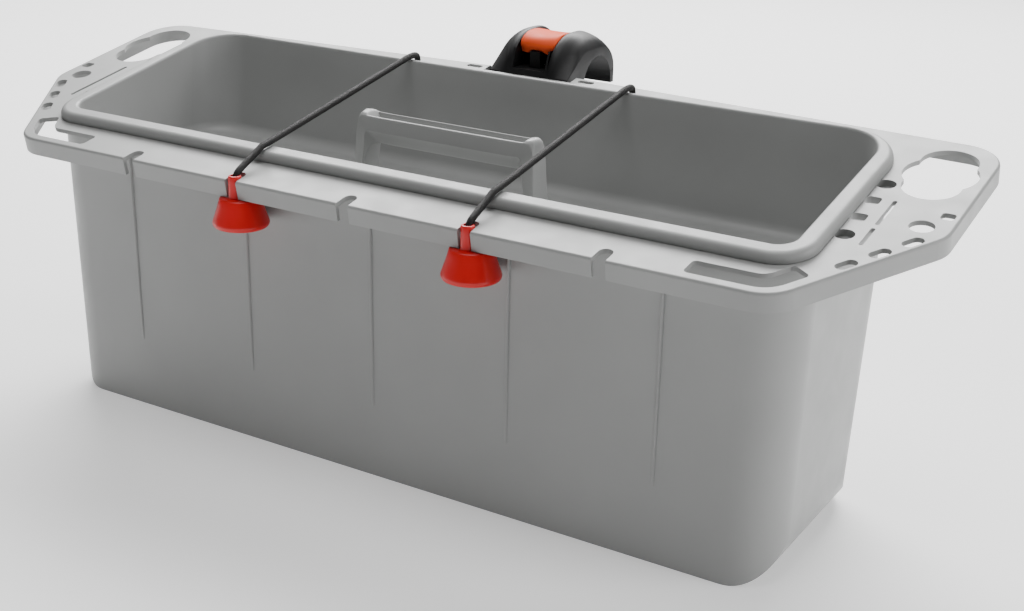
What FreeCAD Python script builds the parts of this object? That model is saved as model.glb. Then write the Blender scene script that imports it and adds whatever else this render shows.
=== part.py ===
import FreeCAD, Part
import math
import os

os.makedirs("parts", exist_ok=True)
V = FreeCAD.Vector

# Driving dimensions, in millimetres and degrees

# Bin: an open tub whose floor lies on z = 0, centred on the origin, +Y to the back
bin_floor_length = 547.0
bin_floor_depth = 154.0
bin_wall = 3.0
bin_floor = 3.2
end_draft = 1.0
front_draft = 0.5
back_draft = 3.9
front_corner_radius = 30.0
back_corner_radius = 40.0
end_sweep_radius = 26.0

# Rim plane: rises towards the back, so the opening faces the user
rim_tilt = 11.0
rim_mid_y = 12.7
rim_mid_z = 215.0

# Flange round the opening
front_overhang = 29.4
back_overhang = 23.0
end_overhang = 56.7
gable_fall = 13.4
plate_thickness = 3.0
lip_depth = 12.0
lip_thickness = 2.6
edge_round = 1.8
front_edge_inset = 60.4
end_edge_front = 27.2
flange_front_radius = 24.0
flange_end_radius = 22.0
flange_back_radius = 26.0

# Wall ribs under the front of the flange
rib_count = 5
rib_pitch = 99.8
rib_thickness = 1.6
rib_depth = 1.8
rib_foot_height = 52.0

# Notches in the front edge for the cord pulls
notch_count = 5
notch_pitch = 86.5
notch_width = 8.8
notch_depth = 13.4

# Holes in the two wings, placed from the end of the flange and from the rim middle
can_lobe_radius = 22.0
can_slot_width = 34.0
can_slot_length = 68.0
can_from_end = 27.5
can_middle = 46.0
socket_from_end = 51.5
socket_size = 9.0
blind_size = 11.6
socket_depth = 4.2
socket_wall = 1.6
socket_first = 22.4
socket_pitch = 22.2
blade_from_end = 39.5
blade_width = 2.6
blade_back = 4.0
blade_front = -53.0
blade_bridge_at = -29.7
blade_bridge = 4.2
driver_from_end = 16.8
driver_radius = 7.2
driver_middle = -20.0
small_from_end = 7.4
small_size = 8.0
small_middle = -3.8
edge_slot_count = 3
edge_slot_length = 13.6
edge_slot_width = 7.4
edge_slot_inset = 2.8
edge_slot_first = 18.2
edge_slot_pitch = 21.8

# Bent hand slot in each front corner
hand_slot_width = 14.0
hand_slot_inset = 6.2
hand_slot_length = 49.0
hand_slot_leg = 26.0
hand_slot_round = 3.0

# Lift-out tray
tray_wall = 2.5
tray_floor = 2.5
tray_depth = 55.5
tray_end_gap = 5.8
tray_front_gap = 7.7
tray_back_gap = 0.9
tray_draft = 2.0
tray_back_draft = 7.0
tray_front_radius = 14.0
tray_back_radius = 31.0
tray_floor_round = 8.0
bead_height = 6.0
bead_front_width = 9.6
bead_end_width = 9.6
bead_back_width = 4.0
bead_skirt = 2.6
bead_round = 4.6
bead_inner_round = 2.0
seat_gap = 0.3

# Tray handle, standing on the tray floor
handle_middle_y = 7.2
handle_depth = 13.4
handle_top_z = 216.0
handle_top_half = 71.5
handle_leg_splay = 10.0
grip_gap = 113.0
grip_height = 17.5
grip_edge = 3.4
grip_corner_radius = 9.0
handle_shoulder_radius = 8.0
hump_rise = 2.6
hump_width = 13.0
rail_width = 2.6
trough_depth = 5.0
channel_wall = 2.8
channel_height = 26.0

# Hook for a ladder rung, behind the flange
rung_radius = 20.0
rung_back = 45.1
rung_above_rim_mid = 8.5
hook_core_half = 17.0
hook_step_half = 24.0
hook_base_half = 31.5
hook_core_height = 39.0
hook_step_height = 34.0
hook_base_height = 26.0
hook_leg_wall = 4.5
hook_leg_tail = 2.5
hook_core_lean = 7.0
hook_step_lean = 10.0
hook_base_lean = 16.0
hook_front_gap = 1.2
hook_cutout_half = 35.0
hook_cutout_depth = 11.5
hook_foot_drop = 54.0
hook_foot_thickness = 9.0
spread_slot_length = 12.5
spread_slot_width = 4.2
spread_slot_x = 45.0
spread_slot_from_edge = 7.6

# Release button in the top of the hook
button_half = 12.6
button_side_gap = 0.4
button_skin_drop = 0.8
button_travel = 4.5
button_end_gap = 0.6
button_front_inset = 9.2
button_back_reach = 15.0
button_saddle_dip = 4.6
window_sill = 13.0
tunnel_wall = 3.5
stem_half = 4.0
stem_depth = 2.4
stem_gap = 0.35
spring_strip = 0.6
spring_half = 3.2
spring_depth = 9.4
spring_room = 1.2
spring_height = 11.1

# Latch pawl under the rung
pawl_half = 6.0
pawl_side_gap = 0.4
pawl_pin_radius = 2.0
pawl_pin_half = 13.0
running_gap = 0.05
pawl_hub_radius = 4.4
pawl_floor_room = 3.0
pawl_ahead = 4.7
pawl_below = 20.5
pawl_tip_reach = 8.8
pawl_tip_rise = 6.2
pawl_arm_reach = 10.0

# Hook screws
screw_radius = 2.0
screw_head_radius = 4.2
screw_head_height = 1.8
screw_length = 14.0
screw_x = 21.0
screw_top_drop = 22.0
screw_pitch = 22.0

# Elastic cords and their pulls
cord_radius = 2.2
cord_bore_radius = 2.6
cord_hole_radius = 2.9
cord_hole_from_edge = 15.0
cord_rest_gap = 0.3
cord_turn_radius = 7.5
ferrule_radius = 4.2
ferrule_length = 8.0
ferrule_gap = 0.3
pull_from_edge = 7.5
pull_lean = -2.0
pull_rise = 1.5
pull_neck_radius = 4.1
pull_neck_length = 15.3
pull_shoulder_radius = 7.0
pull_base_radius = 18.0
pull_length = 39.0
pull_edge_round = 2.0
pull_cavity_radius = 9.0
pull_cavity_depth = 13.0

# Directions and places of the rim frame: v runs up the slope to the back, w stands off the plane
tilt = math.radians(rim_tilt)
rim_along = V(0, math.cos(tilt), math.sin(tilt))
rim_normal = V(0, -math.sin(tilt), math.cos(tilt))
rim_origin = V(0, rim_mid_y, rim_mid_z)


def rim(x, v, w=0.0):
    return rim_origin + V(x, 0, 0) + rim_along * v + rim_normal * w


def slope(degrees):
    return math.tan(math.radians(degrees))


def wall_at_rim(sign, half, draft):
    """Where a wall that leaves the floor at half and leans out by draft meets the rim plane, along v."""
    lean = slope(draft)
    return (sign * (half + rim_mid_z * lean) - rim_mid_y) / (math.cos(tilt) - sign * math.sin(tilt) * lean)


bin_half = bin_floor_length / 2
bin_half_depth = bin_floor_depth / 2
wall_front_v = wall_at_rim(-1, bin_half_depth, front_draft)
wall_back_v = wall_at_rim(1, bin_half_depth, back_draft)
wall_end_x = bin_half + rim_mid_z * slope(end_draft)
flange_front_v = wall_front_v - front_overhang
flange_back_v = wall_back_v + back_overhang
flange_half = wall_end_x + end_overhang


def rounded_wire(points, radii, place):
    """Closed outline with a tangent arc of its own radius at each corner; place maps (a, b) into space."""
    count = len(points)
    flat = [V(a, b, 0) for a, b in points]
    corners = []
    for i, here in enumerate(flat):
        back = (flat[i - 1] - here).normalize()
        ahead = (flat[(i + 1) % count] - here).normalize()
        half = back.getAngle(ahead) / 2
        middle = (back + ahead).normalize() if radii[i] else back
        reach = radii[i] / math.tan(half)
        mid = here + middle * (radii[i] / math.sin(half) - radii[i])
        corners.append([here + back * reach, mid, here + ahead * reach])
    edges = []
    for i, (first, mid, last) in enumerate(corners):
        if radii[i]:
            edges.append(Part.Arc(*[place(p.x, p.y) for p in (first, mid, last)]).toShape())
        following = corners[(i + 1) % count][0]
        edges.append(Part.LineSegment(place(last.x, last.y), place(following.x, following.y)).toShape())
    return Part.Wire(edges)


def slab(points, radii, place, along):
    return Part.Face(rounded_wire(points, radii, place)).extrude(along)


def rim_slab(points, radii, low, high):
    return slab(points, radii, lambda a, b: rim(a, b, low), rim_normal * (high - low))


def side_slab(points, radii, half):
    """Outline in (y, z), extruded from -half to +half along X."""
    return slab(points, radii, lambda a, b: V(-half, a, b), V(2 * half, 0, 0))


def front_slab(points, radii, y_low, y_high):
    """Outline in (x, z), extruded along Y."""
    return slab(points, radii, lambda a, b: V(a, y_low, b), V(0, y_high - y_low, 0))


def mirrored(points):
    """A right-hand outline, from front to back, completed by its mirror image."""
    return points + [(-a, b) for a, b in reversed(points)]


def rectangle(x_half, low, high):
    return [(x_half, low), (x_half, high), (-x_half, high), (-x_half, low)]


def rim_hole(x, v, radius, low, high):
    return Part.makeCylinder(radius, high - low, rim(x, v, low), rim_normal)


def rim_obround(x, v, angle, length, width, low, high):
    """Straight slot with round ends, its long side at angle degrees from X."""
    run = V(math.cos(math.radians(angle)), math.sin(math.radians(angle)), 0) * ((length - width) / 2)
    across = V(-run.y, run.x, 0).normalize() * (width / 2)
    middle = V(x, v, 0)
    tip = V(run).normalize() * (width / 2)

    def place(p):
        return rim(p.x, p.y, low)

    a, b = middle + run - across, middle + run + across
    c, d = middle - run + across, middle - run - across
    wire = Part.Wire([
        Part.Arc(place(a), place(middle + run + tip), place(b)).toShape(),
        Part.LineSegment(place(b), place(c)).toShape(),
        Part.Arc(place(c), place(middle - run - tip), place(d)).toShape(),
        Part.LineSegment(place(d), place(a)).toShape(),
    ])
    return Part.Face(wire).extrude(rim_normal * (high - low))


def cut_all(shape, tools):
    for tool in tools:
        shape = shape.cut(tool)
    return shape


def leaning_box(low_z, high_z, x_at, front_at, back_at, front_radius, back_radius):
    """Box of flat leaning walls with round upright corners; each wall's place is a function of height."""
    sides = side_slab(
        [
            (front_at(low_z), low_z),
            (back_at(low_z), low_z),
            (back_at(high_z), high_z),
            (front_at(high_z), high_z),
        ],
        [0] * 4,
        x_at(high_z) * 2,
    )
    ends = front_slab(
        [(x_at(low_z), low_z), (x_at(high_z), high_z), (-x_at(high_z), high_z), (-x_at(low_z), low_z)],
        [0] * 4,
        front_at(high_z) * 2,
        back_at(high_z) * 2,
    )
    box = sides.common(ends)
    for at_back, radius in ((True, back_radius), (False, front_radius)):
        box = box.makeFillet(radius, [edge for edge in box.Edges if upright(edge, at_back, high_z - low_z)])
    return box


def upright(edge, at_back, height):
    rise = edge.BoundBox.ZLength > height * 0.9
    return rise and (edge.CenterOfMass.y > 0) == at_back


def above_rim(w):
    """A block that holds everything above the plane w over the rim."""
    reach = flange_half + bin_floor_depth
    return rim_slab(rectangle(reach, -reach, reach), [0] * 4, w, w + reach)


# Bin

tub_top_z = rim_mid_z + (flange_back_v + lip_depth) * math.sin(tilt) + lip_depth


def tub_body(inset, floor_z):
    """Drafted tub whose ends sweep up from the floor in a large radius."""
    def end_x(z):
        return bin_half + z * slope(end_draft) - inset

    walls = leaning_box(
        floor_z,
        tub_top_z,
        end_x,
        lambda z: inset - bin_half_depth - z * slope(front_draft),
        lambda z: bin_half_depth + z * slope(back_draft) - inset,
        front_corner_radius - inset,
        back_corner_radius - inset,
    )
    sweep = end_sweep_radius - inset
    high_z = tub_top_z * 2
    outline = [
        (end_x(floor_z), floor_z),
        (end_x(high_z), high_z),
        (-end_x(high_z), high_z),
        (-end_x(floor_z), floor_z),
    ]
    return walls.common(front_slab(outline, [sweep, 0, 0, sweep], -high_z, high_z))


def flange_outline():
    corner_v = flange_back_v - gable_fall
    right = [
        (flange_half - front_edge_inset, flange_front_v),
        (flange_half, -end_edge_front),
        (flange_half, corner_v),
        (0, flange_back_v),
    ]
    left = [(-a, b) for a, b in reversed(right[:-1])]
    sides = [flange_front_radius, flange_end_radius, flange_back_radius]
    return right + left, sides + [0] + sides[::-1]


def make_flange():
    points, radii = flange_outline()
    outline = rounded_wire(points, radii, lambda a, b: rim(a, b, -lip_depth))
    outer = Part.Face(outline)
    block = outer.extrude(rim_normal * lip_depth)
    top_edges = [edge for edge in block.Edges if all(abs(rim_height(v.Point)) < 1e-4 for v in edge.Vertexes)]
    block = block.makeFillet(edge_round, top_edges)
    hollow = outer.makeOffset2D(-lip_thickness).extrude(rim_normal * (lip_depth - plate_thickness))
    return block.cut(hollow)


def rim_height(point):
    return (point - rim_origin).dot(rim_normal)


def wing_cuts(side):
    """Every hole in one wing, as tools to cut, and the sleeves that stand under the socket row."""
    low = -lip_depth - 1
    high = 1
    end_x = flange_half
    can_x = side * (end_x - can_from_end)
    tools = [
        rim_hole(can_x, can_middle, can_lobe_radius, low, high),
        rim_obround(can_x, can_middle, 90, can_slot_length, can_slot_width, low, high),
        rim_hole(side * (end_x - driver_from_end), driver_middle, driver_radius, low, high),
    ]
    sleeves = []
    socket_x = side * (end_x - socket_from_end)
    for i in range(4):
        v = socket_first - i * socket_pitch
        blind = i in (0, 3)
        half = (blind_size if blind else socket_size) / 2
        around = rectangle(half + socket_wall, v - half - socket_wall, v + half + socket_wall)
        inside = rectangle(half, v - half, v + half)
        corner = half * 0.98 if blind else half * 0.55
        bottom = -socket_depth - (socket_wall if blind else 0)
        floor = -socket_depth if blind else low
        sleeves.append(
            rim_slab([(socket_x + a, b) for a, b in around], [corner] * 4, bottom, -plate_thickness / 2),
        )
        tools.append(rim_slab([(socket_x + a, b) for a, b in inside], [corner] * 4, floor, high))
    small_x = side * (end_x - small_from_end)
    small = rectangle(small_size / 2, small_middle - small_size / 2, small_middle + small_size / 2)
    tools.append(rim_slab([(small_x + a, b) for a, b in small], [small_size * 0.3] * 4, low, high))
    blade_x = side * (end_x - blade_from_end)
    spans = [(blade_front, blade_back)]
    if side > 0:
        half_bridge = blade_bridge / 2
        spans = [(blade_front, blade_bridge_at - half_bridge), (blade_bridge_at + half_bridge, blade_back)]
    for first, last in spans:
        middle = (first + last) / 2
        tools.append(rim_obround(blade_x, middle, 90, last - first, blade_width, low, high))
    run = V(front_edge_inset, -end_edge_front - flange_front_v, 0).normalize()
    inward = V(-run.y, run.x, 0) * (edge_slot_inset + edge_slot_width / 2)
    start = V(end_x, -end_edge_front, 0) + inward
    angle = math.degrees(math.atan2(run.y, run.x))
    for i in range(edge_slot_count):
        spot = start - run * (edge_slot_first + i * edge_slot_pitch)
        turn = angle if side > 0 else 180 - angle
        tools.append(rim_obround(side * spot.x, spot.y, turn, edge_slot_length, edge_slot_width, low, high))
    tools.append(hand_slot(side, low, high))
    return tools, sleeves


def hand_slot(side, low, high):
    """Slot that follows the front edge, then turns along the slanted edge."""
    front = flange_front_v + hand_slot_inset
    run = V(front_edge_inset, -end_edge_front - flange_front_v, 0).normalize()
    bend = V(flange_half - front_edge_inset - hand_slot_inset * 0.7, front, 0)
    leg = bend + run * hand_slot_leg
    inside = V(-run.y, run.x, 0) * hand_slot_width
    inner_bend_x = bend.x - hand_slot_width * math.tan(math.atan2(run.y, run.x) / 2)
    points = [
        (bend.x - hand_slot_length, front),
        (bend.x, front),
        (leg.x, leg.y),
        (leg.x + inside.x, leg.y + inside.y),
        (inner_bend_x, front + hand_slot_width),
        (bend.x - hand_slot_length, front + hand_slot_width),
    ]
    radii = [
        hand_slot_round,
        hand_slot_inset * 3,
        hand_slot_round,
        hand_slot_round,
        hand_slot_inset * 1.5,
        hand_slot_round,
    ]
    return rim_slab([(side * a, b) for a, b in points], radii, low, high)


def notch_x(i):
    return (i - (notch_count - 1) / 2) * notch_pitch


def front_notch(x):
    half = notch_width / 2
    front = flange_front_v - 1
    outline = rectangle(half, front, flange_front_v + notch_depth)
    radii = [0, half * 0.98, half * 0.98, 0]
    return rim_slab([(x + a, b) for a, b in outline], radii, -lip_depth - 1, 1)


def wall_rib(x):
    """Thin fin on the front wall, deepest under the flange and gone at its foot."""
    top = rim(x, wall_front_v, -plate_thickness / 2)
    foot_y = -(bin_half_depth + rib_foot_height * slope(front_draft))
    buried = bin_wall / 2
    points = [
        (foot_y, rib_foot_height),
        (top.y - rib_depth, top.z),
        (top.y + buried, top.z),
        (foot_y + buried, rib_foot_height),
    ]
    return side_slab(points, [0] * 4, rib_thickness / 2).translated(V(x, 0, 0))


hook_front_y = rim(0, flange_back_v - hook_cutout_depth, -plate_thickness).y + hook_front_gap
cord_x = notch_pitch
cord_hole_v = flange_back_v - gable_fall * cord_x / flange_half - cord_hole_from_edge


def back_wall_y(z):
    return bin_half_depth + z * slope(back_draft)


screw_axis = V(0, -1, slope(back_draft)).normalize()
hook_foot_top_z = rim(0, wall_back_v, -plate_thickness).z - 2.0


def screw_places():
    """Points on the outer face of the back wall where the hook is screwed on."""
    places = []
    for row in range(2):
        z = hook_foot_top_z - screw_top_drop - row * screw_pitch
        for side in (-1, 1):
            places.append(V(side * screw_x, back_wall_y(z), z))
    return places


def make_bin():
    outer = tub_body(0, 0).cut(above_rim(-plate_thickness / 2))
    inner = tub_body(bin_wall, bin_floor)
    solid = outer.fuse(make_flange())
    ribs = [wall_rib((i - (rib_count - 1) / 2) * rib_pitch) for i in range(rib_count)]
    tools = [front_notch(notch_x(i)) for i in range(notch_count)]
    sleeves = []
    for side in (-1, 1):
        cuts, tubes = wing_cuts(side)
        tools += cuts
        sleeves += tubes
        tools.append(rim_hole(side * cord_x, cord_hole_v, cord_hole_radius, -lip_depth, 1))
        slot_v = flange_back_v - spread_slot_from_edge
        tools.append(
            rim_obround(
                side * spread_slot_x,
                slot_v,
                0,
                spread_slot_length,
                spread_slot_width,
                -lip_depth,
                1,
            ),
        )
    cutout_front = flange_back_v - hook_cutout_depth
    cutout = rectangle(hook_cutout_half, cutout_front, flange_back_v + lip_depth)
    tools.append(rim_slab(cutout, [0] * 4, -lip_depth - 1, 1))
    for place in screw_places():
        tools.append(
            Part.makeCylinder(
                screw_radius + running_gap * 4,
                bin_wall * 4,
                place - screw_axis * bin_wall * 2,
                screw_axis,
            ),
        )
    solid = solid.multiFuse(ribs + sleeves)
    return cut_all(solid, [inner] + tools)


# Tray

tray_half = wall_end_x - bin_wall - tray_end_gap
wall_step = bin_wall / math.cos(tilt)
tray_front_v = wall_front_v + wall_step + tray_front_gap
tray_back_v = wall_back_v - wall_step - tray_back_gap
tray_bottom_z = rim_mid_z - tray_depth
tray_floor_z = tray_bottom_z + tray_floor


def tray_body(inset, floor_z, top_z):
    """The tray's walls, each leaning out by its draft from where it meets the rim plane."""
    front = rim(0, tray_front_v)
    back = rim(0, tray_back_v)
    return leaning_box(
        floor_z,
        top_z,
        lambda z: tray_half + (z - rim_mid_z) * slope(tray_draft) - inset,
        lambda z: front.y - (z - front.z) * slope(tray_draft) + inset,
        lambda z: back.y + (z - back.z) * slope(tray_back_draft) - inset,
        tray_front_radius - inset,
        tray_back_radius - inset,
    )


def bead_block(shrink, low, high):
    """The tray's rim bead seen from above, shrunk by an even margin."""
    x = tray_half + bead_end_width - shrink
    outline = rectangle(x, tray_front_v - bead_front_width + shrink, tray_back_v + bead_back_width - shrink)
    front = tray_front_radius + bead_end_width - shrink
    back = tray_back_radius + bead_end_width - shrink
    return rim_slab(outline, [front, back, back, front], low, high)


def low_edges(shape, z):
    return [edge for edge in shape.Edges if all(abs(v.Z - z) < 1e-4 for v in edge.Vertexes)]


def rim_edges(shape, w):
    return [edge for edge in shape.Edges if all(abs(rim_height(v.Point) - w) < 1e-4 for v in edge.Vertexes)]


def make_tray():
    top_w = seat_gap + bead_height
    outer = tray_body(0, tray_bottom_z, tub_top_z)
    outer = outer.makeChamfer(tray_floor_round / 2, low_edges(outer, tray_bottom_z))
    inner = tray_body(tray_wall, tray_floor_z, tub_top_z + top_w)
    inner = inner.makeFillet(tray_floor_round, low_edges(inner, tray_floor_z))
    bead = bead_block(0, seat_gap, top_w)
    bead = bead.makeFillet(bead_round, rim_edges(bead, top_w))
    under = bead_block(bead_skirt, seat_gap - 1, top_w - bead_skirt)
    shell = outer.cut(above_rim(top_w - bead_skirt / 2)).fuse(bead.cut(under))
    shell = shell.cut(inner)
    mouth = [edge for edge in rim_edges(shell, top_w)]
    return shell.makeFillet(bead_inner_round, mouth).removeSplitter()


# Handle

def grip_edges(shape, half, under_z):
    """Front and back edges of the opening below the bar."""
    found = []
    for edge in shape.Edges:
        box = edge.BoundBox
        inside = box.XMax < half + 0.01 and box.XMin > -half - 0.01 and box.ZMax < under_z + 0.01
        if inside and box.YLength < 0.01:
            found.append(edge)
    return found


def make_handle():
    low_y = handle_middle_y - handle_depth / 2
    high_y = handle_middle_y + handle_depth / 2
    height = handle_top_z - tray_floor_z
    foot_half = handle_top_half + height * slope(handle_leg_splay)
    hump_inner = handle_top_half - hump_width
    top = handle_top_z + hump_rise
    outer = mirrored([
        (foot_half, tray_floor_z),
        (handle_top_half, handle_top_z),
        (handle_top_half - hump_width * 0.45, top),
        (hump_inner, handle_top_z),
    ])
    soft = [0, handle_shoulder_radius * 0.6, handle_shoulder_radius * 0.4, hump_rise]
    body = front_slab(outer, soft + soft[::-1], low_y, high_y)
    under_z = handle_top_z - grip_height
    grip_half = grip_gap / 2
    opening = mirrored([(grip_half, tray_floor_z - 1), (grip_half, under_z)])
    corners = [0, grip_corner_radius, grip_corner_radius, 0]
    body = body.cut(front_slab(opening, corners, low_y - 1, high_y + 1))
    body = body.makeChamfer(grip_edge, grip_edges(body, grip_half, under_z))
    trough_half = handle_depth / 2 - rail_width
    trough_length = handle_top_half - hump_width * 0.7
    trough = slab(
        rectangle(trough_length, handle_middle_y - trough_half, handle_middle_y + trough_half),
        [trough_half * 0.8] * 4,
        lambda a, b: V(a, b, handle_top_z - trough_depth),
        V(0, 0, trough_depth + hump_rise + 1),
    )
    body = body.cut(trough)
    for side in (-1, 1):
        lean = slope(handle_leg_splay)
        outer_low = foot_half - channel_wall
        outer_high = foot_half - channel_height * lean - channel_wall
        pocket = [
            (grip_half - 1, tray_floor_z - 1),
            (outer_low, tray_floor_z - 1),
            (outer_high, tray_floor_z + channel_height),
            (grip_half - 1, tray_floor_z + channel_height),
        ]
        pocket = [(side * a, b) for a, b in pocket]
        body = body.cut(front_slab(pocket, [0] * 4, low_y + channel_wall, high_y - channel_wall))
    return body.removeSplitter()


# Hook

rung_y = hook_front_y + rung_back - hook_front_gap
rung_z = rim_mid_z + rung_above_rim_mid
hook_back_y = rung_y + rung_radius + hook_leg_wall
hook_tail_z = rung_z - hook_leg_tail
hook_shelf_z = rim(0, flange_back_v - hook_cutout_depth).z


def hook_outline(height, brow_lean, shrink=0.0):
    """Side outline of the hook: leaning front, rounded back over the rung, short rear leg."""
    front = hook_front_y + shrink
    back = hook_back_y - shrink
    top_z = rung_z + height - shrink
    foot_z = hook_shelf_z - plate_thickness
    outline = [
        (front, foot_z),
        (front, hook_shelf_z),
        (front + brow_lean, top_z),
        (back, top_z),
        (back, hook_tail_z),
        (rung_y, hook_tail_z),
    ]
    brow = (top_z - hook_shelf_z) * 0.9
    nape = (top_z - hook_tail_z) * 0.68
    return outline, [0, 3.0, brow, nape, 0, 0]


def hook_flank(side):
    """One shoulder of the hook: falls from the core to the low end in two slopes."""
    sections = [
        (hook_core_half, hook_core_height, hook_core_lean),
        (hook_step_half, hook_step_height, hook_step_lean),
        (hook_base_half, hook_base_height, hook_base_lean),
    ]
    wires = []
    for half, height, brow_lean in sections:
        points, radii = hook_outline(height, brow_lean)
        wires.append(rounded_wire(points, radii, lambda a, b, x=side * half: V(x, a, b)))
    return Part.makeLoft(wires, True, True)


def rung_tunnel(radius, half):
    """Round tunnel for the rung, open downwards."""
    tunnel = Part.makeCylinder(radius, 2 * half, V(-half, rung_y, rung_z), V(1, 0, 0))
    drop = rung_z - (hook_foot_top_z - hook_foot_drop) + 1
    mouth = side_slab(
        [
            (rung_y - radius, rung_z - drop),
            (rung_y + radius, rung_z - drop),
            (rung_y + radius, rung_z),
            (rung_y - radius, rung_z),
        ],
        [0] * 4,
        half,
    )
    return tunnel.fuse(mouth)


leg_back_y = rung_y - rung_radius
pivot_y = leg_back_y - pawl_ahead
pivot_z = rung_z - pawl_below
stem_y = pivot_y - pawl_arm_reach + stem_depth / 2
sill_z = rung_z + window_sill
pawl_top_z = pivot_z + pawl_hub_radius
slot_top_z = pawl_top_z + button_travel + pawl_tip_reach * 0.7
button_front_z = sill_z + spring_height + stem_gap


def hook_leg():
    """Front leg behind the flange, with the foot that lies on the back wall."""
    foot_low = hook_foot_top_z - hook_foot_drop
    outline = [
        (hook_front_y, hook_shelf_z),
        (hook_front_y, hook_foot_top_z),
        (back_wall_y(hook_foot_top_z), hook_foot_top_z),
        (back_wall_y(foot_low), foot_low),
        (back_wall_y(foot_low) + hook_foot_thickness, foot_low),
        (pivot_y - pawl_hub_radius, pivot_z - pawl_hub_radius * 3.2),
        (leg_back_y - 1.0, pivot_z - pawl_hub_radius * 2.6),
        (leg_back_y, pivot_z - pawl_hub_radius * 2.2),
        (leg_back_y, rung_z),
    ]
    radii = [0, 0, 0, 0, 2.0, 4.0, 1.0, 0, 0]
    return side_slab(outline, radii, hook_base_half)


def window_cut(side_gap):
    """Opening between the cheeks, above the sill and outside the tunnel's wall."""
    half = button_half + side_gap
    reach = rung_z + hook_core_height + 5
    back = rung_y + button_back_reach + button_end_gap
    box = side_slab(
        [(hook_front_y - 5, sill_z), (back, sill_z), (back, reach), (hook_front_y - 5, reach)],
        [0] * 4,
        half,
    )
    core = Part.makeCylinder(rung_radius + tunnel_wall, 2 * half, V(-half, rung_y, rung_z), V(1, 0, 0))
    return box.cut(core)


def make_hook():
    core = side_slab(*hook_outline(hook_core_height, hook_core_lean), hook_core_half)
    body = core.multiFuse([hook_flank(-1), hook_flank(1), hook_leg()])
    slot_half = pawl_half + pawl_side_gap
    pawl_slot = side_slab(
        [
            (pivot_y - pawl_arm_reach - 2.6, pivot_z - pawl_hub_radius - pawl_floor_room),
            (leg_back_y + 1, pivot_z - pawl_hub_radius - pawl_floor_room),
            (leg_back_y + 1, slot_top_z),
            (pivot_y - pawl_arm_reach - 2.6, slot_top_z),
        ],
        [1.0, 0, 0, 1.0],
        slot_half,
    )
    channel_half = stem_half + stem_gap
    channel = side_slab(
        rectangle_between(
            stem_y - stem_depth / 2 - stem_gap,
            stem_y + stem_depth / 2 + stem_gap,
            slot_top_z - 1,
            sill_z + 1,
        ),
        [0] * 4,
        channel_half,
    )
    pin_bore = Part.makeCylinder(
        pawl_pin_radius,
        2 * pawl_pin_half,
        V(-pawl_pin_half, pivot_y, pivot_z),
        V(1, 0, 0),
    )
    bores = []
    for place in screw_places():
        depth = screw_length - bin_wall + 1
        bores.append(Part.makeCylinder(screw_radius, depth, place, screw_axis * -1))
    tools = [
        rung_tunnel(rung_radius, hook_base_half + 1),
        window_cut(button_side_gap),
        pawl_slot,
        channel,
        pin_bore,
    ]
    body = cut_all(body, tools + bores)
    return body.removeSplitter()


def rectangle_between(a_low, a_high, b_low, b_high):
    return [(a_low, b_low), (a_high, b_low), (a_high, b_high), (a_low, b_high)]


def make_button():
    """Saddle-shaped press plate between the cheeks."""
    cover = side_slab(*hook_outline(hook_core_height, hook_core_lean, button_skin_drop), button_half)
    plate_low = rung_z + rung_radius + tunnel_wall + button_travel + button_end_gap
    keep = side_slab(
        rectangle_between(
            hook_front_y + button_front_inset,
            rung_y + button_back_reach,
            button_front_z,
            rung_z + hook_core_height,
        ),
        [0] * 4,
        button_half,
    )
    room = Part.makeCylinder(plate_low - rung_z, 2 * button_half, V(-button_half, rung_y, rung_z), V(1, 0, 0))
    plate = cover.common(keep).cut(room)
    saddle_radius = (button_half ** 2 + button_saddle_dip ** 2) / (2 * button_saddle_dip)
    saddle_z = rung_z + hook_core_height - button_skin_drop - button_saddle_dip + saddle_radius
    saddle = Part.makeCylinder(saddle_radius, 200, V(0, rung_y - 100, saddle_z), V(0, 1, 0))
    return plate.cut(saddle).removeSplitter()


def make_push_rod():
    """Flat rod from the underside of the button down to the pawl's arm."""
    low = pawl_top_z + stem_gap
    return side_slab(
        rectangle_between(stem_y - stem_depth / 2, stem_y + stem_depth / 2, low, button_front_z),
        [0] * 4,
        stem_half,
    )


def make_button_spring():
    """Flat strip bent into a C behind the stem: one leg on the sill, the other under the button."""
    low = sill_z
    high = button_front_z - stem_gap
    near = stem_y + stem_depth / 2 + spring_room
    far = near + spring_depth
    bend = (high - low) * 0.49
    strip = side_slab(rectangle_between(near, far, low, high), [bend, 0, 0, bend], spring_half)
    hollow = rectangle_between(near + spring_strip, far + 1, low + spring_strip, high - spring_strip)
    inner = bend - spring_strip
    return strip.cut(side_slab(hollow, [inner, 0, 0, inner], spring_half))


def make_pawl():
    """Latch lever: a tip under the rung behind the pin, an arm under the button stem before it."""
    tip_y = pivot_y + pawl_tip_reach
    tip_z = pivot_z + pawl_tip_rise
    arm_y = pivot_y - pawl_arm_reach
    outline = [
        (arm_y, pivot_z + 0.4),
        (pivot_y, pivot_z - pawl_hub_radius),
        (tip_y - 1.0, tip_z - 4.4),
        (tip_y, tip_z),
        (pivot_y + 1.5, pawl_top_z),
        (arm_y, pawl_top_z),
    ]
    lever = side_slab(outline, [1.0, 4.0, 1.2, 1.0, 3.0, 1.0], pawl_half)
    bore = Part.makeCylinder(
        pawl_pin_radius + running_gap,
        2 * pawl_half,
        V(-pawl_half, pivot_y, pivot_z),
        V(1, 0, 0),
    )
    return lever.cut(bore)


def make_pawl_pin():
    return Part.makeCylinder(
        pawl_pin_radius,
        2 * pawl_pin_half,
        V(-pawl_pin_half, pivot_y, pivot_z),
        V(1, 0, 0),
    )


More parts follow.
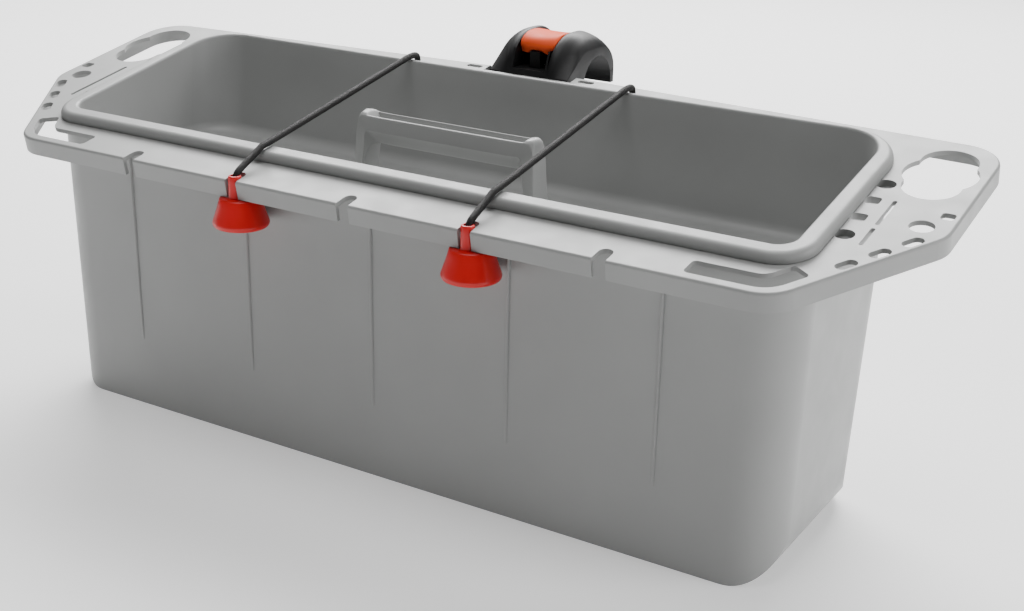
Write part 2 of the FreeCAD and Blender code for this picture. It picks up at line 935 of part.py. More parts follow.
def make_screw(place):
    """Pan-head screw: the head bears on the inside of the back wall, the shank runs into the hook."""
    seat = place + screw_axis * (bin_wall + running_gap)
    head = Part.makeCylinder(screw_head_radius, screw_head_height, seat, screw_axis)
    shank = Part.makeCylinder(screw_radius, screw_length, seat, screw_axis * -1)
    return head.fuse(shank).removeSplitter()


# Cords and pulls

lean = math.radians(pull_lean)
pull_axis = V(0, -math.sin(lean), -math.cos(lean))
pull_top_v = flange_front_v + pull_from_edge
cord_w = seat_gap + bead_height + cord_rest_gap + cord_radius
pull_end = pull_length - pull_cavity_depth


def cord_corners(x):
    """Points of a cord's route: rear hole, over both rims of the tray, into the pull."""
    top = rim(x, pull_top_v, pull_rise)
    turn_room = cord_turn_radius * 0.62
    return [
        rim(x, cord_hole_v, -plate_thickness - ferrule_gap - ferrule_length),
        rim(x, cord_hole_v, cord_w),
        rim(x, tray_front_v - bead_front_width + bead_round - 1.0, cord_w + 0.2),
        top - pull_axis * turn_room,
        top + pull_axis * (pull_end + ferrule_gap + ferrule_length),
    ]


def cord_path(corners, radii):
    """Straight runs joined by tangent arcs, and the length along them."""
    edges = []
    last = corners[0]
    for i in range(1, len(corners) - 1):
        back = (corners[i - 1] - corners[i]).normalize()
        ahead = (corners[i + 1] - corners[i]).normalize()
        half = back.getAngle(ahead) / 2
        reach = radii[i - 1] / math.tan(half)
        middle = (back + ahead).normalize()
        first = corners[i] + back * reach
        mid = corners[i] + middle * (radii[i - 1] / math.sin(half) - radii[i - 1])
        following = corners[i] + ahead * reach
        edges.append(Part.LineSegment(last, first).toShape())
        edges.append(Part.Arc(first, mid, following).toShape())
        last = following
    edges.append(Part.LineSegment(last, corners[-1]).toShape())
    return Part.Wire(edges)


def make_cord(x):
    corners = cord_corners(x)
    radii = [cord_turn_radius, cord_turn_radius * 4, cord_turn_radius]
    path = cord_path(corners, radii)
    start = (corners[1] - corners[0]).normalize()
    section = Part.Wire([Part.makeCircle(cord_radius, corners[0], start)])
    cord = path.makePipeShell([section], True, False)
    expected = math.pi * cord_radius ** 2 * path.Length
    print(
        "cord at x",
        x,
        "length",
        round(path.Length, 2),
        "radii",
        radii,
        "volume ratio",
        round(cord.Volume / expected, 5),
    )
    return cord


def sleeve(base, along):
    tube = Part.makeCylinder(ferrule_radius, ferrule_length, base, along)
    return tube.cut(Part.makeCylinder(cord_radius + running_gap, ferrule_length, base, along))


def make_rear_ferrule(x):
    return sleeve(rim(x, cord_hole_v, -plate_thickness - ferrule_gap), rim_normal * -1)


def make_front_ferrule(x):
    return sleeve(rim(x, pull_top_v, pull_rise) + pull_axis * (pull_end + ferrule_gap), pull_axis)


def make_pull(x):
    """Round pull turned about its own axis: slim neck, flared body, hollow underneath."""
    taper = (pull_base_radius - pull_shoulder_radius) / (pull_length - pull_neck_length)

    def flare(s):
        return pull_shoulder_radius + (s - pull_neck_length) * taper

    shoulder = pull_neck_length
    end = pull_length
    soft = pull_edge_round
    outline = [
        (cord_bore_radius, 0),
        (pull_neck_radius - soft / 4, 0),
        (pull_neck_radius, soft / 4),
        (pull_neck_radius, shoulder),
        (flare(shoulder) - soft, shoulder),
        (flare(shoulder + soft), shoulder + soft),
        (flare(end - soft), end - soft),
        (flare(end) - soft, end),
        (pull_cavity_radius, end),
        (pull_cavity_radius, pull_end),
        (cord_bore_radius, pull_end),
    ]
    edges = rounded_wire(outline, [0] * len(outline), lambda r, s: V(r, 0, -s)).Edges
    turned = Part.Face(Part.Wire(edges)).revolve(V(0, 0, 0), V(0, 0, 1), 360)
    turned.rotate(V(0, 0, 0), V(1, 0, 0), -pull_lean)
    return turned.translated(rim(x, pull_top_v, pull_rise))


# All pieces, each written to its own file

pieces = {
    "bin_tub": make_bin(),
    "lift_out_tray": make_tray(),
    "tray_handle": make_handle(),
    "hook_housing": make_hook(),
    "release_button": make_button(),
    "push_rod": make_push_rod(),
    "button_spring": make_button_spring(),
    "latch_pawl": make_pawl(),
    "pawl_pin": make_pawl_pin(),
}
for number, place in enumerate(screw_places(), 1):
    pieces[f"hook_screw_{number}"] = make_screw(place)
for name, x in (("left", -cord_x), ("right", cord_x)):
    pieces[f"{name}_cord"] = make_cord(x)
    pieces[f"{name}_knob"] = make_pull(x)
    pieces[f"{name}_rear_ferrule"] = make_rear_ferrule(x)
    pieces[f"{name}_front_ferrule"] = make_front_ferrule(x)

for name, shape in pieces.items():
    shape.exportStep(f"parts/{name}.step")
    print(name, "valid", shape.isValid(), "solids", len(shape.Solids), "volume", round(shape.Volume, 1))
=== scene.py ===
import math

import bmesh
import bpy
from mathutils import Matrix, Vector


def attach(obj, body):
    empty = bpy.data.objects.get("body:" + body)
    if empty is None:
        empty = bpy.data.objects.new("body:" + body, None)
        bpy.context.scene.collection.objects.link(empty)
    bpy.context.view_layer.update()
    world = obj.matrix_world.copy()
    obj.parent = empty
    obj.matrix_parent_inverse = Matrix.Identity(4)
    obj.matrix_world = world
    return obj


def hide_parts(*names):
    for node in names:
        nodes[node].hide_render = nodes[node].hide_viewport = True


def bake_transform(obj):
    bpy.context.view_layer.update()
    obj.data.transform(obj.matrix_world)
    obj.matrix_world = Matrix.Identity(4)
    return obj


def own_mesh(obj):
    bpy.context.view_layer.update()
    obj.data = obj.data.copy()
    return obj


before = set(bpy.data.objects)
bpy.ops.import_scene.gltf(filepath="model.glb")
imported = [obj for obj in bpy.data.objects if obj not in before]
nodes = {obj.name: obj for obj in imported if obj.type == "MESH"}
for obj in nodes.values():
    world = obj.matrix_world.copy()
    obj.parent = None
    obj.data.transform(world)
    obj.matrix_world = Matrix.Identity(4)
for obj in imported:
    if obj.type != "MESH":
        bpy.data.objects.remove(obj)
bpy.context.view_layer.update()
MM = 0.001

# Rim plane of the bin: v runs up its slope to the back, w stands off it
TILT = math.radians(11.0)
RIM_ORIGIN = Vector((0, 12.7, 215.0))
RIM_ALONG = Vector((0, math.cos(TILT), math.sin(TILT)))
RIM_NORMAL = Vector((0, -math.sin(TILT), math.cos(TILT)))


def rim(x, v, w):
    """A point on the rim plane's own axes, given in millimetres and returned in metres."""
    return (RIM_ORIGIN + Vector((x, 0, 0)) + RIM_ALONG * v + RIM_NORMAL * w) * MM


# Camera at the photograph's place and angle
RIGHT = Vector((0.85269, 0.5219, 0.02324))
UP = Vector((-0.2027, 0.28953, 0.93546))
FORWARD = Vector((-0.48149, 0.80237, -0.35267))
camera_data = bpy.data.cameras.new("camera")
camera_data.sensor_fit = "HORIZONTAL"
camera_data.sensor_width = 36.0
camera_data.lens = 53.81
camera_data.clip_start = 0.01
camera = bpy.data.objects.new("camera", camera_data)
place = Matrix((RIGHT, UP, -FORWARD)).transposed().to_4x4()
place.translation = Vector((0.53558, -0.80006, 0.45823))
camera.matrix_world = place
bpy.context.scene.collection.objects.link(camera)
bpy.context.scene.camera = camera


# Materials
def new_material(name, color, roughness, metallic=0.0):
    material = bpy.data.materials.new(name)
    material.use_nodes = True
    shader = material.node_tree.nodes["Principled BSDF"]
    shader.inputs["Base Color"].default_value = (*color, 1)
    shader.inputs["Roughness"].default_value = roughness
    shader.inputs["Metallic"].default_value = metallic
    return material, material.node_tree, shader


def noise(tree, coords, scale, detail=2.0, rough=0.5):
    node = tree.nodes.new("ShaderNodeTexNoise")
    node.inputs["Scale"].default_value = scale
    node.inputs["Detail"].default_value = detail
    node.inputs["Roughness"].default_value = rough
    tree.links.new(coords, node.inputs["Vector"])
    return node.outputs["Fac"]


def object_coords(tree):
    return tree.nodes.new("ShaderNodeTexCoord").outputs["Object"]


def ramp(tree, value, stops):
    node = tree.nodes.new("ShaderNodeValToRGB")
    elements = node.color_ramp.elements
    while len(elements) < len(stops):
        elements.new(0.5)
    for element, (at, color) in zip(elements, stops):
        element.position = at
        element.color = (*color, 1)
    tree.links.new(value, node.inputs["Fac"])
    return node.outputs["Color"]


def span(tree, value, low, high):
    node = tree.nodes.new("ShaderNodeMapRange")
    node.inputs["From Min"].default_value = 0.3
    node.inputs["From Max"].default_value = 0.7
    node.inputs["To Min"].default_value = low
    node.inputs["To Max"].default_value = high
    tree.links.new(value, node.inputs["Value"])
    return node.outputs["Result"]


def bump(tree, shader, height, strength, distance):
    node = tree.nodes.new("ShaderNodeBump")
    node.inputs["Strength"].default_value = strength
    node.inputs["Distance"].default_value = distance
    tree.links.new(height, node.inputs["Height"])
    tree.links.new(node.outputs["Normal"], shader.inputs["Normal"])


def moulded(name, color, roughness, grain, grain_depth, spread=0.05):
    """Moulded plastic: slow colour and gloss drift, and a fine etched grain."""
    material, tree, shader = new_material(name, color, roughness)
    coords = object_coords(tree)
    slow = noise(tree, coords, 9.0, 3.0)
    dark = tuple(c * (1 - spread) for c in color)
    light = tuple(min(1.0, c * (1 + spread)) for c in color)
    tree.links.new(ramp(tree, slow, [(0.3, dark), (0.7, light)]), shader.inputs["Base Color"])
    drift = span(tree, noise(tree, coords, 60.0, 4.0), roughness - 0.05, roughness + 0.06)
    tree.links.new(drift, shader.inputs["Roughness"])
    bump(tree, shader, noise(tree, coords, grain, 2.0), 0.35, grain_depth)
    return material


GREY = moulded("grey_moulding", (0.32, 0.324, 0.32), 0.4, 1500.0, 0.00006)
BLACK = moulded("black_moulding", (0.009, 0.009, 0.0095), 0.5, 1800.0, 0.00006, 0.12)
# A darker copy of the black moulding for the push rod: painted shade on a rod that the front lamp would
# light.
SHADED_BLACK = moulded("shaded_black_moulding", (0.003, 0.003, 0.003), 0.7, 1800.0, 0.00004, 0.1)
ORANGE = moulded("orange_moulding", (0.86, 0.1, 0.028), 0.5, 1800.0, 0.00004)
RED = moulded("red_moulding", (0.62, 0.012, 0.013), 0.34, 900.0, 0.00001, 0.06)
RED.node_tree.nodes["Principled BSDF"].inputs["Coat Weight"].default_value = 0.12
RED.node_tree.nodes["Principled BSDF"].inputs["Coat Roughness"].default_value = 0.12


def make_steel():
    material, tree, shader = new_material("steel", (0.45, 0.45, 0.46), 0.32, 1.0)
    coords = object_coords(tree)
    tree.links.new(span(tree, noise(tree, coords, 400.0, 3.0), 0.26, 0.42), shader.inputs["Roughness"])
    bump(tree, shader, noise(tree, coords, 2500.0), 0.15, 0.00003)
    return material


def make_braid():
    """Black braided cover: two sets of slanted strands, from the tube's own length and angle."""
    material, tree, shader = new_material("cord_braid", (0.012, 0.012, 0.013), 0.62)
    coords = tree.nodes.new("ShaderNodeUVMap").outputs["UV"]
    waves = []
    for turn in (0.62, -0.62):
        mapping = tree.nodes.new("ShaderNodeMapping")
        mapping.inputs["Rotation"].default_value = (0, 0, turn)
        tree.links.new(coords, mapping.inputs["Vector"])
        wave = tree.nodes.new("ShaderNodeTexWave")
        wave.inputs["Scale"].default_value = 2.2
        wave.inputs["Distortion"].default_value = 0.4
        tree.links.new(mapping.outputs["Vector"], wave.inputs["Vector"])
        waves.append(wave.outputs["Fac"])
    mixed = tree.nodes.new("ShaderNodeMath")
    mixed.operation = "MAXIMUM"
    tree.links.new(waves[0], mixed.inputs[0])
    tree.links.new(waves[1], mixed.inputs[1])
    height = mixed.outputs[0]
    # Colour darkens with the strand height into the low gaps between strands: painted shade.
    color = ramp(tree, height, [(0.35, (0.002, 0.002, 0.002)), (0.95, (0.014, 0.012, 0.012))])
    tree.links.new(color, shader.inputs["Base Color"])
    shader.inputs["Sheen Weight"].default_value = 0.03
    bump(tree, shader, height, 0.8, 0.0004)
    return material


STEEL = make_steel()
BRAID = make_braid()


def dress(node, material):
    piece = nodes[node]
    if not piece.material_slots:
        piece.data.materials.append(material)
    for held in piece.material_slots:
        held.material = material


def set_specular(material, level):
    material.node_tree.nodes["Principled BSDF"].inputs["Specular IOR Level"].default_value = level


for dull in (GREY, BLACK, BRAID, SHADED_BLACK, RED):
    set_specular(dull, 0.3)
set_specular(ORANGE, 0.1)

for name in ("bin_tub", "lift_out_tray"):
    dress(name, GREY)
dress("latch_pawl", BLACK)
# The push rod takes the darker copy of the black moulding as painted shade.
dress("push_rod", SHADED_BLACK)
for name in ("pawl_pin", "hook_screw_1", "hook_screw_2", "hook_screw_3", "hook_screw_4"):
    dress(name, STEEL)
for side in ("left", "right"):
    dress(side + "_rear_ferrule", STEEL)
    dress(side + "_front_ferrule", STEEL)


# Moulded forms that stand for plain solids
def new_piece(name, verts, faces, material):
    mesh = bpy.data.meshes.new(name)
    mesh.from_pydata([tuple(v) for v in verts], [], faces)
    mesh.materials.append(material)
    work = bmesh.new()
    work.from_mesh(mesh)
    bmesh.ops.recalc_face_normals(work, faces=work.faces)
    work.to_mesh(mesh)
    work.free()
    for polygon in mesh.polygons:
        polygon.use_smooth = True
    mesh.update()
    piece = bpy.data.objects.new(name, mesh)
    bpy.context.scene.collection.objects.link(piece)
    return piece


def seat(piece, body, node=None):
    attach(piece, body)
    if node:
        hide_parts(node)


def ring_faces(rings, size, closed):
    """Quads between rings of equal size, joined end to end or capped."""
    faces = []
    for i in range(rings if closed else rings - 1):
        following = (i + 1) % rings
        for k in range(size):
            nxt = (k + 1) % size
            faces.append((i * size + k, i * size + nxt, following * size + nxt, following * size + k))
    if not closed:
        faces.append(tuple(range(size)))
        faces.append(tuple((rings - 1) * size + k for k in range(size)))
    return faces


# Cord pulls: neck in the notch, level flared skirt set back from it, hollow underneath
KNOB_V = -117.3
SKIRT_BACK = 4.5
NECK_PROFILE = [(2.6, 0.0), (3.4, 0.0), (3.9, 0.25), (4.1, 0.8), (4.1, 6.0), (4.1, 13.9), (4.3, 14.6)]
SKIRT_PROFILE = [
    (11.6, 14.75), (12.6, 15.0), (13.2, 15.7), (14.2, 19.3), (15.5, 23.4), (17.2, 28.4), (17.8, 30.1),
    (18.0, 31.2), (17.7, 32.5), (16.9, 33.4), (15.7, 33.9), (14.9, 33.6), (14.2, 32.4), (12.6, 26.0),
    (11.2, 22.6), (10.0, 22.0),
]
BORE_PROFILE = [(2.6, 22.0), (2.6, 11.0)]
SPOKES = 64


def make_knob(side, x):
    """Radius and distance down, turned about the neck's or the skirt's upright axis."""
    rows = [(r, s, 0.0) for r, s in NECK_PROFILE]
    rows += [(r, s, SKIRT_BACK) for r, s in SKIRT_PROFILE]
    rows += [(r, s, 0.0) for r, s in BORE_PROFILE]
    top = rim(x, KNOB_V, 1.5)
    verts = []
    for k in range(SPOKES):
        angle = 2 * math.pi * k / SPOKES
        for r, s, back in rows:
            verts.append(top + Vector((r * math.cos(angle), back + r * math.sin(angle), -s)) * MM)
    knob = new_piece(side + "_pull_knob", verts, ring_faces(SPOKES, len(rows), True), RED)
    knob.data.set_sharp_from_angle(angle=math.radians(50))
    seat(knob, side + "_pull", side + "_knob")
    return knob


# Tray handle's right half: (outer x, outer z, inner x, inner z, depth, trough, face share, belly inset)
HANDLE_Y = 7.2
HANDLE_STATIONS = [
    (73.0, 162.0, 65.0, 162.0, 20.0, 0.0, 0.90, 0.9),
    (72.8, 163.0, 64.8, 163.0, 20.0, 0.0, 0.90, 0.9),
    (71.2, 174.0, 63.4, 174.0, 19.0, 0.0, 0.90, 0.9),
    (69.8, 186.0, 61.6, 186.0, 18.0, 0.0, 0.88, 1.0),
    (69.2, 196.0, 59.6, 193.0, 17.2, 0.0, 0.80, 1.6),
    (68.8, 204.0, 57.2, 196.2, 16.6, -0.4, 0.68, 2.6),
    (68.2, 210.0, 55.2, 197.2, 16.2, -1.0, 0.58, 4.0),
    (66.8, 214.4, 53.4, 197.4, 15.9, -2.0, 0.52, 5.0),
    (64.6, 216.2, 51.6, 197.3, 15.7, -2.7, 0.50, 5.5),
    (62.2, 216.4, 50.0, 197.2, 15.6, -2.5, 0.50, 5.5),
    (60.6, 216.3, 48.8, 197.2, 15.6, -1.6, 0.50, 5.5),
    (59.9, 216.2, 48.2, 197.1, 15.6, 5.0, 0.50, 5.5),
    (57.0, 216.1, 46.0, 197.1, 15.6, 5.6, 0.50, 5.5),
    (49.0, 216.0, 42.0, 197.0, 15.6, 5.6, 0.50, 5.5),
    (38.0, 216.0, 36.0, 197.0, 15.6, 5.6, 0.50, 5.5),
    (19.0, 216.0, 18.0, 197.0, 15.6, 5.6, 0.50, 5.5),
]
STEPS = 4


def between(stations):
    """The stations with smooth steps put in between them."""
    last = len(stations) - 1
    full = []
    for i in range(last):
        p0, p1, p2, p3 = (stations[min(max(k, 0), last)] for k in (i - 1, i, i + 1, i + 2))
        for j in range(STEPS):
            t = j / STEPS
            w0 = (-t + 2 * t * t - t ** 3) / 2
            w1 = (2 - 5 * t * t + 3 * t ** 3) / 2
            w2 = (t + 4 * t * t - 3 * t ** 3) / 2
            w3 = (t ** 3 - t * t) / 2
            full.append(tuple(w0 * a + w1 * b + w2 * c + w3 * d for a, b, c, d in zip(p0, p1, p2, p3)))
    full.append(stations[last])
    return full


def handle_ring(side, station):
    outer_x, outer_z, inner_x, inner_z, depth, trough, share, belly = station
    half = depth / 2
    thickness = math.hypot(outer_x - inner_x, outer_z - inner_z)
    low = trough / thickness
    under = 1 - share
    if trough > 0:
        top = [(half - 3.0, low), (half - 2.5, low * 0.85), (half - 2.2, low * 0.15), (half - 1.9, 0.0)]
    else:
        top = [
            (half - 3.0, low * 0.62), (half - 2.5, low * 0.52),
            (half - 2.2, low * 0.44), (half - 1.9, low * 0.36),
        ]
    tilt = 1.2 * (0.9 - share) / 0.4
    front = top + [
        (half - 1.1, 0.0), (half - 0.5, 0.02), (half - 0.2, 0.07),
        (half + 0.25 + 0.5 * tilt, share * 0.5), (half + 0.5 + tilt, share - 0.06),
        (half + 0.5 + tilt, share - 0.01), (half - 0.3 + tilt, share + under * 0.06),
        (half - belly * 0.4, share + under * 0.45), (half - belly * 0.82, share + under * 0.85),
        (half - belly - 0.3, 1 - under * 0.03), (half - belly - 0.9, 1.0),
    ]
    ring = [(-y, f) for y, f in front] + [(0.0, 1.0)] + list(reversed(front)) + [(0.0, low)]
    verts = []
    for y, f in ring:
        verts.append(Vector((
            side * (outer_x + (inner_x - outer_x) * f),
            HANDLE_Y + y,
            outer_z + (inner_z - outer_z) * f,
        )) * MM)
    return verts


def make_handle():
    stations = between(HANDLE_STATIONS)
    rings = [handle_ring(1, station) for station in stations]
    rings += [handle_ring(-1, station) for station in reversed(stations)]
    verts = [point for ring in rings for point in ring]
    handle = new_piece("handle_moulding", verts, ring_faces(len(rings), len(rings[0]), False), GREY)
    handle.data.set_sharp_from_angle(angle=math.radians(42))
    seat(handle, "tray", "tray_handle")


# Ribs down the front wall: half-round beads, thinner towards the foot
RIB_TOP = 193.0
RIB_FOOT = 50.0
RIB_HALF = 1.15
RIB_SUNK = 0.3
RIB_PITCH = 99.8
RIB_COUNT = 5
RIB_POINTS = 9
# Share of the full rise at the lowest levels
RIB_RUN_OUT = (0.15, 0.55, 0.85, 1.0)
WALL_FOOT_Y = 77.0
WALL_DRAFT = math.radians(0.5)


def make_rib(number, x):
    verts = []
    levels = [RIB_FOOT, RIB_FOOT + 3, RIB_FOOT + 8, RIB_FOOT + 14, 90.0, 130.0, 165.0, RIB_TOP]
    for i, z in enumerate(levels):
        wall = -(WALL_FOOT_Y + z * math.tan(WALL_DRAFT))
        full = 1.0 + (z - RIB_FOOT) / (RIB_TOP - RIB_FOOT)
        rise = RIB_SUNK + full * RIB_RUN_OUT[min(i, 3)]
        for k in range(RIB_POINTS):
            angle = math.pi * k / (RIB_POINTS - 1)
            across = x + RIB_HALF * math.cos(angle)
            verts.append(Vector((across, wall + RIB_SUNK - rise * math.sin(angle), z)) * MM)
    rib = new_piece("wall_bead_%d" % number, verts, ring_faces(len(levels), RIB_POINTS, False), GREY)
    rib.data.set_sharp_from_angle(angle=math.radians(60))
    seat(rib, "bin")


# Hook: the solid's own foot and middle, with rounded cheeks on both sides of the button
HOOK_FRONT, HOOK_BACK, HOOK_SHELF, HOOK_TAIL = 105.8, 174.17, 232.75, 221.0
RUNG_Y, RUNG_Z, RUNG_RADIUS = 149.68, 223.5, 20.0
CHEEK_FOOT = 229.5
CHEEK_INNER = 14.6
MIDDLE_TOP = 250.0
TUNNEL_STEPS = 24
# (distance from the middle, height over the rung, lean of the brow)
CHEEK_STATIONS = [
    (14.6, 35.6, 7.1), (15.2, 36.3, 7.1), (16.2, 36.5, 7.2), (18.0, 36.3, 8.5), (20.5, 35.6, 14.0),
    (23.0, 34.6, 19.5), (25.5, 33.2, 22.0), (27.5, 31.6, 22.6), (29.2, 29.6, 23.0), (30.5, 27.6, 23.4),
    (31.2, 26.3, 23.7), (31.5, 25.2, 24.2),
]


def rounded(corners, radii, steps):
    """A path through corners, each turned by an arc of its radius."""
    path = [corners[0]]
    for before, corner, after, radius in zip(corners, corners[1:], corners[2:], radii):
        back, ahead = before - corner, after - corner
        half = back.angle(ahead) / 2
        radius = min(radius, 0.95 * min(back.length, ahead.length) * math.tan(half))
        center = corner + (back.normalized() + ahead.normalized()).normalized() * (radius / math.sin(half))
        start = corner + back.normalized() * (radius / math.tan(half)) - center
        end = corner + ahead.normalized() * (radius / math.tan(half)) - center
        turn = start.angle_signed(end)
        for j in range(steps + 1):
            swing = -turn * j / steps
            path.append(center + Vector((
                start.x * math.cos(swing) - start.y * math.sin(swing),
                start.x * math.sin(swing) + start.y * math.cos(swing),
            )))
    path.append(corners[-1])
    return path


def cheek_ring(x, height, lean):
    top = RUNG_Z + height
    corners = [
        Vector((HOOK_FRONT, CHEEK_FOOT)), Vector((HOOK_FRONT, HOOK_SHELF)), Vector((HOOK_FRONT + lean, top)),
        Vector((HOOK_BACK, top)), Vector((HOOK_BACK, CHEEK_FOOT)),
    ]
    outline = rounded(corners, [2.5, (top - HOOK_SHELF) * 1.17, (top - HOOK_TAIL) * 0.75], 12)
    low = math.asin((CHEEK_FOOT - RUNG_Z) / RUNG_RADIUS)
    for j in range(TUNNEL_STEPS + 1):
        angle = low + (math.pi - 2 * low) * j / TUNNEL_STEPS
        spoke = Vector((math.cos(angle), math.sin(angle))) * RUNG_RADIUS
        outline.append(Vector((RUNG_Y, RUNG_Z)) + spoke)
    return [Vector((x, point.x, point.y)) * MM for point in outline]


def kept_part(node, cuts):
    """A solid's own mesh inside all cuts, each a point in millimetres and an outward direction."""
    work = bmesh.new()
    work.from_mesh(nodes[node].data)
    work.transform(nodes[node].matrix_world)
    bmesh.ops.remove_doubles(work, verts=work.verts, dist=0.000002)
    for point, outward in cuts:
        everything = work.verts[:] + work.edges[:] + work.faces[:]
        bmesh.ops.bisect_plane(
            work,
            geom=everything,
            dist=0.000001,
            plane_co=Vector(point) * MM,
            plane_no=outward,
            clear_outer=True,
        )
    work.verts.index_update()
    verts = [vertex.co.copy() for vertex in work.verts]
    faces = [tuple(vertex.index for vertex in face.verts) for face in work.faces]
    work.free()
    return verts, faces


def make_hook():
    foot = [((0, 0, CHEEK_FOOT + 0.5), (0, 0, 1))]
    middle = [
        ((0, 0, CHEEK_FOOT + 0.5), (0, 0, -1)), ((0, 0, MIDDLE_TOP), (0, 0, 1)),
        ((CHEEK_INNER, 0, 0), (1, 0, 0)), ((-CHEEK_INNER, 0, 0), (-1, 0, 0)),
    ]
    parts = [kept_part("hook_housing", foot), kept_part("hook_housing", middle)]
    for side in (-1, 1):
        rings = [cheek_ring(side * x, height, lean) for x, height, lean in CHEEK_STATIONS]
        parts.append(([p for ring in rings for p in ring], ring_faces(len(rings), len(rings[0]), False)))
    verts, faces = [], []
    for part_verts, part_faces in parts:
        start = len(verts)
        verts += part_verts
        faces += [tuple(start + k for k in face) for face in part_faces]
    hook = new_piece("hook_moulding", verts, faces, BLACK)
    hook.data.set_sharp_from_angle(angle=math.radians(38))
    seat(hook, "bin", "hook_housing")


# Button: bowed nose with a scalloped lower lip, and a crown that follows the cheeks
BUTTON_HALF = 14.2


def button_ring(x):
    share = abs(x) / BUTTON_HALF
    nose = 114.8 + 3.6 * share * share
    lip = 248.1 - 2.7 * min(max((abs(x) - 4.0) / 4.0, 0.0), 1.0)
    dish = 0.9 * (1 - share * share)
    points = [
        (nose + 7.0, lip + 0.6), (nose + 4.2, lip), (nose + 1.6, lip + 0.9), (nose + 0.3, 250.2),
        (nose, 251.9), (nose + 0.9, 254.2), (nose + 3.8, 256.8), (nose + 8.5, 258.8 - dish * 0.5),
        (131.0, 259.6 - dish), (137.0, 259.7 - dish), (143.0, 259.0 - dish), (150.0, 257.4 - dish * 0.5),
        (156.5, 254.8), (161.5, 252.0), (165.2, 249.4), (165.0, 248.3), (150.0, 248.3), (135.0, 248.3),
    ]
    if share > 0.99:
        points = [(140 + (y - 140) * 0.97, 252 + (z - 252) * 0.9) for y, z in points]
    return [Vector((x, y, z)) * MM for y, z in points]


def make_button():
    outward = [3.5, 5.0, 7.0, 9.0, 12.0, 13.5, BUTTON_HALF]
    places = [-x for x in reversed(outward)] + [0.0] + outward
    rings = [button_ring(x) for x in places]
    verts = [point for ring in rings for point in ring]
    button = new_piece("button_moulding", verts, ring_faces(len(rings), len(rings[0]), False), ORANGE)
    button.data.set_sharp_from_angle(angle=math.radians(55))
    seat(button, "button", "release_button")


def make_spring():
    verts, faces = kept_part("button_spring", [])
    spring = new_piece("return_spring", verts, faces, STEEL)
    spring.data.set_sharp_from_angle(angle=math.radians(50))
    seat(spring, "bin", "button_spring")
    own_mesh(spring)


make_handle()
make_hook()
make_button()
make_spring()
for number in range(RIB_COUNT):
    make_rib(number + 1, (number - (RIB_COUNT - 1) / 2) * RIB_PITCH)


# Elastic cords over the tray: each is a rear and a front half that meet over its middle
CORD_RADIUS = 2.2 * MM
CORD_X = 86.5
CORD_W = 8.8
HOLE_V = 86.05
CREST_V = -88.38
PULL_V = -115.03
LEAN = math.radians(-2.0)
PULL_AXIS = Vector((0, -math.sin(LEAN), -math.cos(LEAN)))
AROUND = 20
MIDDLE_V = -1.2
LEVEL_RUN = 30.0
REAR_END_W = -11.3
FRONT_END = 34.3
FERRULE_START = 25.0


def route_spline(name, points):
    curve = bpy.data.curves.new(name, "CURVE")
    curve.dimensions = "3D"
    curve.resolution_u = 24
    spline = curve.splines.new("NURBS")
    spline.points.add(len(points) - 1)
    for held, point in zip(spline.points, points):
        held.co = (*point, 1)
    spline.order_u = 3
    spline.use_endpoint_u = True
    carrier = bpy.data.objects.new(name, curve)
    bpy.context.scene.collection.objects.link(carrier)
    bpy.context.view_layer.update()
    line = bpy.data.meshes.new_from_object(carrier)
    path = [vertex.co.copy() for vertex in line.vertices]
    bpy.data.objects.remove(carrier)
    bpy.data.curves.remove(curve)
    bpy.data.meshes.remove(line)
    return path


def tube(name, path, radius):
    """A closed tube along a path that lies in a plane of constant X, with length and angle as its UVs."""
    side = Vector((1, 0, 0))
    verts, faces, uvs = [], [], []
    travelled = [0.0]
    for i in range(1, len(path)):
        travelled.append(travelled[-1] + (path[i] - path[i - 1]).length)
    for i, point in enumerate(path):
        ahead = (path[min(i + 1, len(path) - 1)] - path[max(i - 1, 0)]).normalized()
        other = ahead.cross(side)
        for k in range(AROUND):
            angle = 2 * math.pi * k / AROUND
            verts.append(point + side * (radius * math.cos(angle)) + other * (radius * math.sin(angle)))
    for i in range(len(path) - 1):
        for k in range(AROUND):
            nxt = (k + 1) % AROUND
            faces.append((i * AROUND + k, i * AROUND + nxt, (i + 1) * AROUND + nxt, (i + 1) * AROUND + k))
            turns = [k, k + 1, k + 1, k]
            rows = [i, i, i + 1, i + 1]
            uvs += [(travelled[r] * 1000 / 4.0, t * 4.0 / AROUND) for r, t in zip(rows, turns)]
    last = (len(path) - 1) * AROUND
    faces.append(tuple(range(AROUND)))
    faces.append(tuple(last + k for k in reversed(range(AROUND))))
    uvs += [(0.0, 0.0)] * (2 * AROUND)
    mesh = bpy.data.meshes.new(name)
    mesh.from_pydata(verts, [], faces)
    layer = mesh.uv_layers.new(name="UVMap")
    for loop, uv in zip(layer.data, uvs):
        loop.uv = uv
    for polygon in mesh.polygons:
        polygon.use_smooth = len(polygon.vertices) == 4
    for edge in mesh.edges:
        rows = [v // AROUND for v in edge.vertices]
        edge.use_edge_sharp = rows[0] == rows[1] and rows[0] in (0, len(path) - 1)
    mesh.materials.append(BRAID)
    mesh.update()
    piece = bpy.data.objects.new(name, mesh)
    bpy.context.scene.collection.objects.link(piece)
    return piece, travelled[-1]


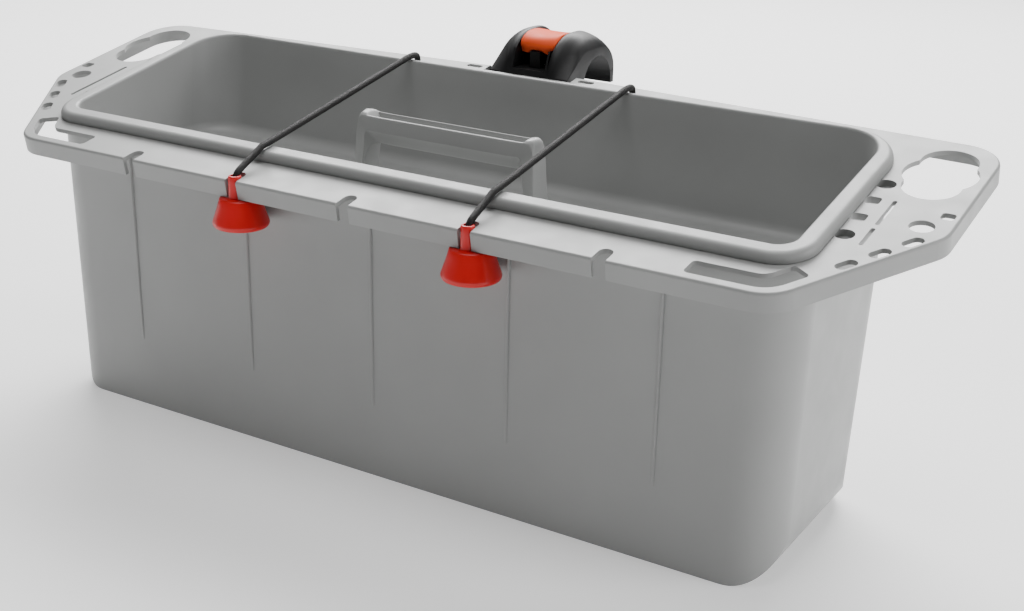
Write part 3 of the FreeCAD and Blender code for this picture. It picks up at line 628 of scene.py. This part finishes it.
def cord_half(name, points, node):
    path = route_spline(name + "_route", points)
    piece, length = tube(name, path, CORD_RADIUS)
    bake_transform(piece)
    if node:
        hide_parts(node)


for side, x in (("left", -CORD_X), ("right", CORD_X)):
    knob = make_knob(side, x)
    ferrule_top = rim(x, PULL_V, 1.5)
    middle = rim(x, MIDDLE_V, CORD_W)
    rear_points = [
        rim(x, HOLE_V, REAR_END_W),
        rim(x, HOLE_V, 1.0),
        rim(x, HOLE_V, CORD_W),
        rim(x, HOLE_V - LEVEL_RUN, CORD_W),
        middle,
    ]
    front_points = [
        ferrule_top + PULL_AXIS * (FRONT_END * MM),
        ferrule_top + PULL_AXIS * (FERRULE_START * MM),
        rim(x, KNOB_V + 1.6, -8.0),
        rim(x, KNOB_V, 1.8),
        rim(x, KNOB_V + 12.0, 4.9),
        rim(x, CREST_V - 5.0, CORD_W - 1.0),
        rim(x, CREST_V, CORD_W + 0.6),
        rim(x, CREST_V + 6.0, CORD_W + 0.2),
        rim(x, CREST_V + LEVEL_RUN, CORD_W),
        middle,
    ]
    cord_half(
        side + "_cord_rear",
        rear_points,
        side + "_cord",
    )
    cord_half(
        side + "_cord_front",
        front_points,
        None,
    )


# Floor and light
def make_floor():
    mesh = bpy.data.meshes.new("floor")
    reach = 9.0
    corners = [(-reach, -reach, 0), (reach, -reach, 0), (reach, reach, 0), (-reach, reach, 0)]
    mesh.from_pydata(corners, [], [(0, 1, 2, 3)])
    floor = bpy.data.objects.new("floor", mesh)
    bpy.context.scene.collection.objects.link(floor)
    material, tree, shader = new_material("floor_paper", (0.8, 0.8, 0.8), 0.95)
    shader.inputs["Emission Color"].default_value = (1, 1, 1, 1)
    shader.inputs["Emission Strength"].default_value = 0.4
    mesh.materials.append(material)


make_floor()


def area_light(name, spot, aim, size, power):
    data = bpy.data.lights.new(name, "AREA")
    data.shape = "RECTANGLE"
    data.size, data.size_y = size
    data.energy = power
    light = bpy.data.objects.new(name, data)
    light.location = spot
    light.rotation_euler = (Vector(aim) - Vector(spot)).to_track_quat("-Z", "Y").to_euler()
    bpy.context.scene.collection.objects.link(light)


area_light("back", (-0.8, 1.75, 1.95), (0, 0, 0.2), (2.6, 1.5), 205.0)
area_light("top", (0.1, -0.3, 2.3), (0, 0, 0.1), (1.6, 1.2), 27.0)
area_light("side", (2.1, 0.5, 0.9), (0, 0, 0.1), (1.2, 1.2), 30.0)
area_light("front", (-1.5, -1.5, 0.9), (-0.3, 0, 0.15), (0.9, 0.9), 0.5)
world = bpy.data.worlds.new("studio")
bpy.context.scene.world = world
world.use_nodes = True
backdrop = world.node_tree.nodes["Background"]
backdrop.inputs["Color"].default_value = (1, 1, 1, 1)
backdrop.inputs["Strength"].default_value = 0.04
